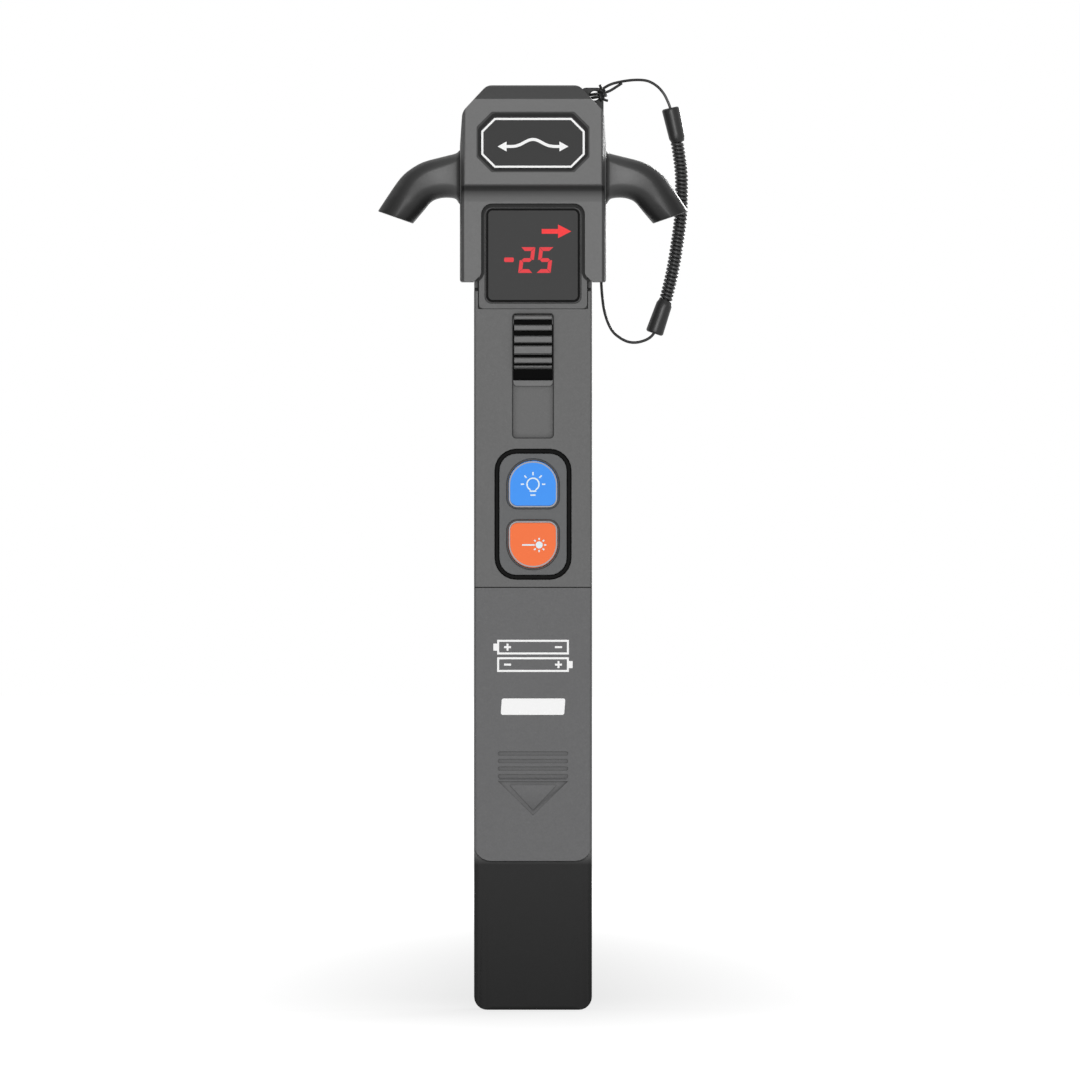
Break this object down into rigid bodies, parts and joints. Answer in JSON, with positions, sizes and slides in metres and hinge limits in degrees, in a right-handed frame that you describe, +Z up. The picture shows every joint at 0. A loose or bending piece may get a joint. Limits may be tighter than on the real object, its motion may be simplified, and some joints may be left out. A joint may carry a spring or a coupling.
{
  "type": "optical fibre identifier",
  "caption": "Slim handheld optical fibre identifier: a clamping head with two curved guide arms, a small display, a thumb slide, two keys, a sliding battery door and a coiled strap.",
  "frame": {"origin": "centre of the bounding box's underside, without the strap", "axes": "+Z up along the handle, +X to the right of the front, -Y the front with the display"},
  "size_m": [0.0658, 0.0281, 0.1976],
  "materials": {
    "shell": "fine matte mid grey moulding",
    "dark_plastic": "matte near black moulding",
    "plate": "printed dark film",
    "lens": "smoked display lens",
    "digits": "red segment display",
    "black_rubber": "black gasket",
    "pale_trim": "pale grey rim",
    "blue_key": "blue silicone key",
    "orange_key": "orange silicone key",
    "board": "green circuit board",
    "steel": "plated steel",
    "brass": "turned brass",
    "cell": "plain cell jacket",
    "clear": "clear lens",
    "cord": "black cord and coil"
  },
  "bodies": {
    "handle": {"housing_rear": "shell", "housing_front": "shell", "nose_housing": "dark_plastic", "neck_frame": "dark_plastic", "head_hood": "shell", "guide_arms": "shell", "head_back_cover": "shell", "name_plate": "plate", "display_bezel": "shell", "display_lens": "lens", "display_module": "digits", "upper_anvil": "dark_plastic", "detectors": "steel", "main_pcb": "board", "tact_switches": "steel", "keypad_ring": "black_rubber", "keypad_plate": "shell", "keypad_trims": "pale_trim", "battery_tray": "dark_plastic", "battery_cell_left": "cell", "battery_cell_right": "cell", "battery_springs": "steel", "battery_contacts": "steel", "vfl_laser_module": "brass", "vfl_port": "steel", "torch_led": "clear", "torch_lens": "clear", "housing_screws": "steel", "nose_screws": "steel", "head_screws": "steel", "strap_knot": "cord", "strap_string_upper": "cord", "strap_string_second": "cord", "strap_sleeve_upper": "cord", "strap_coil": "cord", "strap_sleeve_lower": "cord", "strap_string_lower": "cord"},
    "thumb_slide": {"thumb_slider": "shell", "slider_carriage": "dark_plastic"},
    "jaw": {"lower_jaw": "dark_plastic", "plunger_rod": "steel", "jaw_spring": "steel"},
    "torch_key": {"torch_button": "blue_key"},
    "laser_key": {"laser_button": "orange_key"},
    "door": {"battery_door": "shell"}
  },
  "joints": [
    {"name": "thumb_slide_travel", "type": "slide", "parent": "handle", "child": "thumb_slide", "axis": [0, 0, -1], "range_m": [0, 0.0105]},
    {"name": "jaw_travel", "type": "slide", "parent": "handle", "child": "jaw", "axis": [0, 0, -1], "range_m": [0, 0.00525], "deforming": ["jaw_spring"]},
    {"name": "torch_key_press", "type": "slide", "parent": "handle", "child": "torch_key", "axis": [0, 1, 0], "range_m": [0, 0.0006], "stiffness_N_per_m": 1500},
    {"name": "laser_key_press", "type": "slide", "parent": "handle", "child": "laser_key", "axis": [0, 1, 0], "range_m": [0, 0.0006], "stiffness_N_per_m": 1500},
    {"name": "battery_door_slide", "type": "slide", "parent": "handle", "child": "door", "axis": [0, 0, -1], "range_m": [0, 0.06]}
  ],
  "couplings": [
    {"joint": "jaw_travel", "follows": "thumb_slide_travel", "ratio": 0.5}
  ]
}
